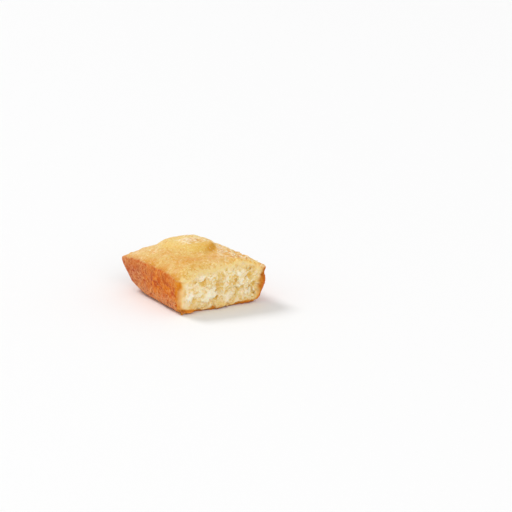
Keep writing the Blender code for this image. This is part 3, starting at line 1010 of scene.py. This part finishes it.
class Nodes:
    """Short ways to make and join a material's nodes."""

    def __init__(self, material):
        material.use_nodes = True
        self.tree = material.node_tree
        self.shader = self.tree.nodes["Principled BSDF"]
        self.place = self.make("ShaderNodeTexCoord").outputs["Object"]
        self.shares = {}

    def make(self, kind, **settings):
        node = self.tree.nodes.new(kind)
        for name, value in settings.items():
            setattr(node, name, value)
        return node

    def join(self, source, socket):
        if isinstance(source, (int, float, tuple)):
            socket.default_value = source
        else:
            self.tree.links.new(source, socket)

    def noise(self, size, detail=2.0, roughness=0.5, distortion=0.0):
        """Noise whose features measure about size millimetres."""
        node = self.make("ShaderNodeTexNoise")
        self.join(self.place, node.inputs["Vector"])
        node.inputs["Scale"].default_value = 1.0 / (size * MM)
        node.inputs["Detail"].default_value = detail
        node.inputs["Roughness"].default_value = roughness
        node.inputs["Distortion"].default_value = distortion
        return node.outputs["Fac"]

    def math(self, operation, a, b):
        node = self.make("ShaderNodeMath", operation=operation)
        self.join(a, node.inputs[0])
        self.join(b, node.inputs[1])
        return node.outputs[0]

    def between(self, value, low, high):
        """0 where value is at low, 1 where it is at high, smooth between them."""
        node = self.make("ShaderNodeMapRange", interpolation_type="SMOOTHSTEP")
        self.join(value, node.inputs["Value"])
        self.join(low, node.inputs["From Min"])
        self.join(high, node.inputs["From Max"])
        return node.outputs["Result"]

    def mix(self, share, a, b):
        node = self.make("ShaderNodeMix", data_type="RGBA")
        self.join(share, node.inputs[0])
        self.join(a, node.inputs[6])
        self.join(b, node.inputs[7])
        return node.outputs[2]

    def ramp(self, value, stops):
        node = self.make("ShaderNodeValToRGB")
        elements = node.color_ramp.elements
        while len(elements) < len(stops):
            elements.new(0.5)
        for element, (position, colour) in zip(elements, stops):
            element.position = position
            element.color = linear(*colour)
        self.join(value, node.inputs["Fac"])
        return node.outputs["Color"]

    def share(self, name):
        """The named patches, depths or attribute, made once."""
        if name not in self.shares:
            if name in PATCHES:
                low, high, *kind = PATCHES[name]
                made = self.between(self.noise(*kind), low, high)
            elif name in DEPTHS:
                attribute, low, high = DEPTHS[name]
                made = self.between(self.share(attribute), low, high)
            else:
                made = self.make("ShaderNodeAttribute", attribute_name=name).outputs["Fac"]
            self.shares[name] = made
        return self.shares[name]

    def lay(self, colour, layers):
        """Lays each layer's colour over the one below, by the product of its shares."""
        for names, strength, over in layers:
            first, *others = names.split()
            share = self.share(first)
            for name in others:
                share = self.math("MULTIPLY", share, self.share(name))
            if strength != 1.0:
                share = self.math("MULTIPLY", share, strength)
            colour = self.mix(share, colour, linear(*over))
        return colour

    def by_depth(self, stops):
        """Colours by how deep in millimetres a point lies under the crust."""
        value = self.math("DIVIDE", self.share("depth"), SKIN_SPAN)
        return self.ramp(value, [(at / SKIN_SPAN, colour) for at, colour in stops])


def wall_colour(nodes):
    low = nodes.share("low")
    toward_end = nodes.share("toward_end")
    nodes.shares["worn"] = nodes.math("MAXIMUM", low, toward_end)
    cells = nodes.lay(nodes.ramp(nodes.share("tone"), WALL_CELLS), CELL_LAYERS)
    # the net's ridges, painted paler as a highlight on the glossy pore rims
    ridge_highlights = nodes.lay(linear(*RIDGE_HIGHLIGHT_COLOUR), RIDGE_HIGHLIGHT_LAYERS)
    speckle = nodes.math("MULTIPLY", nodes.share("speckle"), NET_SPECKLE)
    speckle = nodes.math("ADD", speckle, 1.0 - NET_SPECKLE)
    net = nodes.math("MULTIPLY", nodes.share("net"), speckle)
    stark = nodes.math("MAXIMUM", low, nodes.math("MULTIPLY", toward_end, NET_AT_END))
    starker = nodes.math("MULTIPLY", nodes.math("MULTIPLY", net, stark), NET_STARKER)
    skin = nodes.mix(nodes.math("ADD", net, starker), cells, ridge_highlights)
    skin = nodes.lay(skin, WALL_LAYERS)
    inner = nodes.lay(nodes.by_depth(UNDER_WALL), UNDER_WALL_LAYERS)
    return nodes.lay(nodes.mix(nodes.share("under_wall"), skin, inner), TORN_LAYERS)


def top_colour(nodes):
    flecks = nodes.math("MULTIPLY", nodes.share("toward_end"), FLECKS_AT_END)
    nodes.shares["flecks"] = nodes.math("ADD", flecks, FLECKS)
    skin = nodes.lay(linear(*TOP_COLOUR), TOP_LAYERS)
    drawn = nodes.lay(linear(*DRAWN_COLOUR), DRAWN_LAYERS)
    skin = nodes.mix(nodes.math("MULTIPLY", nodes.share("drawn"), DRAWN_SHARE), skin, drawn)
    skin = nodes.lay(skin, FLECK_LAYERS)
    return nodes.mix(nodes.share("under_top"), skin, nodes.by_depth(UNDER_TOP))


def crumb_colour(nodes):
    lit = nodes.lay(linear(*CRUMB_COLOUR), (("creamy", 1.0, (249, 239, 210)),))
    grain = nodes.math("MULTIPLY", nodes.share("coarse"), CRUMB_GRAIN_SHARE)
    return nodes.lay(nodes.mix(grain, linear(*CRUMB_GRAIN), lit), CRUMB_LAYERS)


def baked_material():
    material = bpy.data.materials.new("baked_cake")
    nodes = Nodes(material)
    skin = nodes.mix(nodes.share("wall"), top_colour(nodes), wall_colour(nodes))
    colour = nodes.mix(nodes.share("open"), skin, crumb_colour(nodes))
    nodes.join(colour, nodes.shader.inputs["Base Color"])

    fine = nodes.math("MULTIPLY", nodes.noise(*FINE_BUMP), FINE_BUMP_SHARE)
    grainy = nodes.math("MULTIPLY", nodes.noise(*CRUMB_BUMP), nodes.share("open"))
    bump = nodes.make("ShaderNodeBump")
    bump.inputs["Strength"].default_value = 1.0
    bump.inputs["Distance"].default_value = BUMP_DEPTH * MM
    nodes.join(nodes.math("ADD", fine, grainy), bump.inputs["Height"])
    nodes.join(bump.outputs["Normal"], nodes.shader.inputs["Normal"])
    rough = nodes.make("ShaderNodeMapRange")
    nodes.join(nodes.noise(*ROUGH_PATCHES), rough.inputs["Value"])
    for name, value in ROUGH_SPAN.items():
        rough.inputs[name].default_value = value
    nodes.join(rough.outputs["Result"], nodes.shader.inputs["Roughness"])
    for name, value in SHADER.items():
        nodes.shader.inputs[name].default_value = value
    return material


SIDE = (12.5, 16.5, 3.0, 7.5)  # the cut's +Y side, across and in height
SIDE_BEHIND = (4.0, 0.5)
CRUST = 0.6  # the crust's thickness, and how much more it is at places
CRUST_AT_SIDE = 0.7
CRUST_BY_WALL = 0.25
CRUST_AT_FOOT = 1.1
CRUST_LEAST = 0.4
BY_WALL = (-14.0, -17.0)
THICK_FOOT = (-14.5, 2.6)
THICK_FOOT_HEIGHT = (3.2, 1.0)
UNEVEN_FOOT = 0.4
UNEVEN_FOOT_MOST = 1.2
UNEVEN_FOOT_HEIGHT = (2.4, 0.8)
CUT_CORNER = (22.0, 18.0, 14.0)
CUT_CORNER_REACH = (3.0, 2.5, 3.5)
RIM_REACH = 2.2  # browning along the rim
RIM_POWER = 1.5
RIM_FAR = (8.0, 14.0, -1.0, 6.0)  # across and along
RIM_FAR_LESS = 0.75
RIM_END = (-18.5, -21.5)
RIM_END_MORE = 0.1
RIM_NEAR = (-13.0, -16.0)
RIM_NEAR_MORE = 0.15
RIM_BROWN = 0.7
VALLEY_BROWN = 0.55  # and round the bump
VALLEYS = (("valley", 1.0), ("valley_along", 0.6), ("behind_roll", 0.4), ("fold", 0.75))
BROWN_EVEN = 0.3
BROWN_UNEVEN = 1.2
CORNER_BROWN = 0.9
ROLL_BROWN = 0.3
GOLDEN_BROWN = 0.1
WALL_BROWN_HEIGHT = (5.0, 0.0)
WALL_BROWN = 0.5
FOOT_CORNER_ACROSS = (-12.0, -17.0)
FOOT_CORNER_RISE = 1.2
FOOT_BROWN_PLACE = (1.6, 0.6, 3.0, 1.0)  # in height, and behind the cut
FOOT_BROWN = (0.9, 0.3, 0.4)  # unevenly, at the corner, and where the foot is thick
DRAWN_BEHIND = (4.8, 0.6)  # from the cut's edge inward
DRAWN_LESS = 0.8
EDGE = (3.6, 0.8, 2.0, -4.0)  # behind the cut, and across
EDGE_MOTTLE = (0.8, 0.7)
TORN_BELL = (7.0, 3.6)
TORN_BEHIND = (2.6, -0.6)
TORN_PLACE = (1.5, 4.0, 13.0, 10.0, 0.0, -8.0)  # from the foot, from the rim, and across
FLAKY = (-0.6, 0.3, 0.2, 0.95)  # of its noise, and of the creases
CRUST_BEHIND = (4.5, 3.0)
OPEN_DEPTH = (1.0, 2.6)
TONE_OF_CELL = 0.6
NEAR_RIM = 1.3
PALE_SPAN = (0.5, 2.2)
LOW = (7.0, 3.0)
TOWARD_END = (2.0, -18.0)
FINE_ROUNDS = 6  # how far a point's neighbours reach, in rounds
WIDE_ROUNDS = 60


def sunk(height, edges, rounds):
    """How far each point lies under its neighbours' level, over a reach set by rounds."""
    first, second = edges.T
    count = np.bincount(edges.ravel(), minlength=len(height))
    level = height
    for _ in range(rounds):
        total = np.bincount(first, level[second], len(height))
        total = total + np.bincount(second, level[first], len(height))
        level = 0.5 * level + 0.5 * total / count
    return level - height


def crust_thickness(points, sides, thick_foot):
    """How thick the crust is on the cut, in millimetres."""
    _, y, z = points.T
    thickness = CRUST + CRUST_AT_SIDE * sides + CRUST_BY_WALL * smooth_step(*BY_WALL, y)
    thickness = np.maximum(thickness * (1.0 + uneven("crust_thickness", points)), CRUST_LEAST)
    foot = np.clip(UNEVEN_FOOT + uneven("foot_thickness", points), 0.0, UNEVEN_FOOT_MOST)
    return thickness + CRUST_AT_FOOT * thick_foot + foot * smooth_step(*UNEVEN_FOOT_HEIGHT, z)


def browned_rim(points):
    """How brown the top is by its rim: most at the uncut end and by the -Y wall."""
    x, y, z = points.T
    past_rim = np.clip(-mould_distance(x, y, z), 0.0, None)
    rim = np.exp(-(past_rim / RIM_REACH) ** RIM_POWER)
    rim = rim * (1.0 - RIM_FAR_LESS * within(RIM_FAR, y, x))
    rim = rim * (1.0 + RIM_END_MORE * smooth_step(*RIM_END, x))
    return rim * (1.0 + RIM_NEAR_MORE * smooth_step(*RIM_NEAR, y))


def browning(points, places, sides, thick_foot, corner):
    """How brown the crust is, on the top, on the walls and at the foot of the cut."""
    x, y, z = points.T
    mottled = 0.5 + 0.5 * layered("browning", points)
    valley = 0.0
    for name, strength in VALLEYS:
        valley = np.maximum(valley, strength * spot(name, x, y))
    on_top = np.clip(RIM_BROWN * browned_rim(points) + VALLEY_BROWN * valley, 0.0, 1.0)
    on_top = on_top * (BROWN_EVEN + BROWN_UNEVEN * mottled)
    on_top = on_top + ROLL_BROWN * spot("behind_roll", x, y) + GOLDEN_BROWN * spot("golden", x, y)
    on_wall = WALL_BROWN * smooth_step(*WALL_BROWN_HEIGHT, z) * mottled
    far_side = sides * smooth_step(*SIDE_BEHIND, places.behind_cut)
    on_wall = on_wall + (0.5 + 0.5 * mottled) * far_side
    at_corner = smooth_step(*FOOT_CORNER_ACROSS, y)
    ragged_z = z + uneven("foot_brown", points) - FOOT_CORNER_RISE * at_corner
    under = within(FOOT_BROWN_PLACE, ragged_z, places.behind_cut)
    unevenly, more_at_corner, more_where_thick = FOOT_BROWN
    foot = unevenly * mottled + more_at_corner * at_corner + more_where_thick * thick_foot
    brown = on_top * places.top + on_wall * places.wall + foot * under + CORNER_BROWN * corner
    return np.clip(brown, 0.0, 1.0)


def vertex_shares(points, edges):
    """What the material reads at each point of the mesh."""
    x, y, z = points.T
    places = Places(points)
    wall, top, behind = places.wall, places.top * places.outside, places.behind_cut
    _, net, number = wall_relief(points)
    sides = within(SIDE, y, z)
    thick_foot = bell(y, *THICK_FOOT) * smooth_step(*THICK_FOOT_HEIGHT, z)
    corner = np.exp(-(((points - CUT_CORNER) / CUT_CORNER_REACH) ** 2).sum(axis=1))
    from_cut = behind + uneven("from_cut", points)
    least, mottle = EDGE_MOTTLE
    mottled = np.clip(least + mottle * layered("edge_mottle", points), 0.0, 1.0)
    torn = behind + uneven("torn_edge", points)
    torn = smooth_step(TORN_BEHIND[0] * bell(z, *TORN_BELL), TORN_BEHIND[1], torn)
    rim, floor = rings(points)
    by_edge, on_dome, crease = wrinkles(points)
    flaky = within(FLAKY, uneven("flaky", points), crease)
    height = cake_distance(x, y, z)
    depth = places.depth / crust_thickness(points, sides, thick_foot)
    depth = depth * (1.0 - places.rolled * places.top) * smooth_step(*CRUST_BEHIND, behind)
    tone = 0.5 + 0.5 * layered("tone", points)
    on_roll = 1.0 - DRAWN_LESS * spot("behind_roll", x, y)
    return {
        "depth": depth,
        "open": smooth_step(*OPEN_DEPTH, depth) * (1.0 - places.rolled),
        "edge": within(EDGE, from_cut, y) * mottled * wall,
        "torn": torn * within(TORN_PLACE, z, z, y) * wall,
        "rim": rim * top,
        "floor": floor * top,
        "wall": wall,
        "near_rim": bell(places.under_top, 0.0, NEAR_RIM) * wall,
        "cavity": sunk(height, edges, FINE_ROUNDS),
        "hollow": sunk(height, edges, WIDE_ROUNDS),
        "wrinkle": np.maximum(by_edge, on_dome) * flaky * top,
        "brown": browning(points, places, sides, thick_foot, corner),
        "drawn": smooth_step(*DRAWN_BEHIND, from_cut) * places.top * (1.0 - corner) * on_roll,
        "pale": smooth_step(*PALE_SPAN, places.under_top) * (1.0 - corner) * places.face,
        "net": net,
        "low": smooth_step(*LOW, z),
        "toward_end": smooth_step(*TOWARD_END, x + uneven("toward_end", points)),
        "tone": TONE_OF_CELL * number + (1.0 - TONE_OF_CELL) * tone,
        "bump": places.bump,
        "clump": clumped(points),
        "by_edge": by_edge * top,
        "on_dome": on_dome * top,
        "shaded_flank": bump_flank_shade(x, y) * top,
    }


# ---- the cake
def in_one_piece(points, quads):
    """The largest connected surface, without the closed pockets that lie inside it."""
    first = quads.ravel().astype(np.int64)
    second = np.roll(quads, 1, axis=1).ravel().astype(np.int64)
    root = np.arange(len(points))
    while (root[first] != root[second]).any():
        least = np.minimum(root[first], root[second])
        np.minimum.at(root, root[first], least)
        np.minimum.at(root, root[second], least)
        root = root[root]
    largest = np.bincount(root).argmax()
    kept = root == largest
    number = np.cumsum(kept) - 1
    return points[kept], number[quads[kept[quads[:, 0]]]]


def fit_to_box(points, low, high):
    """Sets the points, in metres, into the solid's own box."""
    least = points.min(axis=0)
    most = points.max(axis=0)
    return low + (points - least) / (most - least) * (high - low)


def build_cake():
    grid = Grid(VOXEL)
    points, quads = in_one_piece(*grid.surface(carve_cake(grid)))
    points[:, 2] = np.maximum(points[:, 2], 0.0)
    low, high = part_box(NODE)
    placed = fit_to_box(points, np.array(low), np.array(high))

    mesh = bpy.data.meshes.new("financier_half_baked")
    mesh.vertices.add(len(points))
    mesh.vertices.foreach_set("co", placed.astype(np.float32).ravel())
    mesh.loops.add(quads.size)
    mesh.loops.foreach_set("vertex_index", quads.ravel().astype(np.int32))
    mesh.polygons.add(len(quads))
    mesh.polygons.foreach_set("loop_start", np.arange(0, quads.size, 4, dtype=np.int32))
    mesh.update(calc_edges=True)
    mesh.validate()
    mesh.shade_smooth()
    edges = np.empty(len(mesh.edges) * 2, dtype=np.int32)
    mesh.edges.foreach_get("vertices", edges)
    shares = vertex_shares(points, edges.reshape(-1, 2))
    for name, values in shares.items():
        attribute = mesh.attributes.new(name, "FLOAT", "POINT")
        attribute.data.foreach_set("value", values.astype(np.float32))
    mesh.materials.append(baked_material())
    cake = add_object("financier_half_baked", mesh)
    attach(cake, "root")
    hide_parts(NODE)


# ---- camera, floor and light
CAMERA_DISTANCE = 0.450
CAMERA_ELEVATION = math.radians(16.4)
CAMERA_TURN = math.radians(59.6)  # the camera looks this far round from +Y toward -X
PIXELS_PER_METRE = 2600.0  # at the origin
ORIGIN_PIXEL = (193.0, 295.3)  # where the photograph shows the origin
FRAME_PIXELS = 512
SENSOR = 36.0
CLIP_NEAR = 0.01
CLIP_FAR = 20.0
FLOOR_REACH = 6.0
FLOOR_COLOUR = (0.93, 0.93, 0.93, 1.0)
FLOOR_ROUGHNESS = 0.8
WORLD_COLOUR = (1.0, 1.0, 1.0, 1.0)
WORLD_STRENGTH = 0.62
SOFTBOXES = (  # name, how far beyond the cake, to the right and up, spread, strength
    ("back", 0.4, -0.5, 0.7, 22.0, 1.35),
    ("front", -0.8, 0.3, 0.45, 36.0, 0.85),
)


def add_object(name, data):
    made = bpy.data.objects.new(name, data)
    bpy.context.scene.collection.objects.link(made)
    return made


def place_camera():
    """Stands the camera where the photograph's was, aimed beside the cake as it was."""
    away = Vector((-math.sin(CAMERA_TURN), math.cos(CAMERA_TURN), 0.0))
    toward = away * math.cos(CAMERA_ELEVATION) - Vector((0, 0, math.sin(CAMERA_ELEVATION)))
    camera_data = bpy.data.cameras.new("camera")
    camera = add_object("camera", camera_data)
    focal_pixels = PIXELS_PER_METRE * CAMERA_DISTANCE
    camera_data.sensor_width = SENSOR
    camera_data.lens = focal_pixels / FRAME_PIXELS * SENSOR
    camera_data.clip_start = CLIP_NEAR
    camera_data.clip_end = CLIP_FAR
    aim = toward.to_track_quat("-Z", "Y").to_matrix()
    right = (ORIGIN_PIXEL[0] - FRAME_PIXELS / 2) / focal_pixels
    up = (FRAME_PIXELS / 2 - ORIGIN_PIXEL[1]) / focal_pixels
    seen = Vector((right, up, -1.0)).normalized()
    turn = seen.rotation_difference(Vector((0.0, 0.0, -1.0))).to_matrix()
    camera.matrix_world = (aim @ turn).to_4x4()
    camera.location = -toward * CAMERA_DISTANCE
    bpy.context.scene.camera = camera


def lay_floor():
    size = FLOOR_REACH
    mesh = bpy.data.meshes.new("floor")
    corners = [(-size, -size, 0), (size, -size, 0), (size, size, 0), (-size, size, 0)]
    mesh.from_pydata(corners, [], [(0, 1, 2, 3)])
    floor = add_object("floor", mesh)
    material = bpy.data.materials.new("floor")
    material.use_nodes = True
    shader = material.node_tree.nodes["Principled BSDF"]
    shader.inputs["Base Color"].default_value = FLOOR_COLOUR
    shader.inputs["Roughness"].default_value = FLOOR_ROUGHNESS
    mesh.materials.append(material)


def light_studio():
    """A plain bright room with two far softboxes, each the light of a wide, soft sun."""
    scene = bpy.context.scene
    scene.view_settings.view_transform = "Standard"
    scene.world = bpy.data.worlds.new("studio")
    scene.world.use_nodes = True
    background = scene.world.node_tree.nodes["Background"]
    background.inputs["Color"].default_value = WORLD_COLOUR
    background.inputs["Strength"].default_value = WORLD_STRENGTH
    away = Vector((-math.sin(CAMERA_TURN), math.cos(CAMERA_TURN), 0.0))
    right = Vector((math.cos(CAMERA_TURN), math.sin(CAMERA_TURN), 0.0))
    for name, beyond, aside, up, spread, strength in SOFTBOXES:
        light = bpy.data.lights.new(name, "SUN")
        light.angle = math.radians(spread)
        light.energy = strength
        lamp = add_object(name, light)
        lamp.location = away * beyond + right * aside + Vector((0.0, 0.0, up))
        lamp.rotation_euler = (-lamp.location).to_track_quat("-Z", "Y").to_euler()


def main():
    place_camera()
    lay_floor()
    light_studio()
    build_cake()


main()
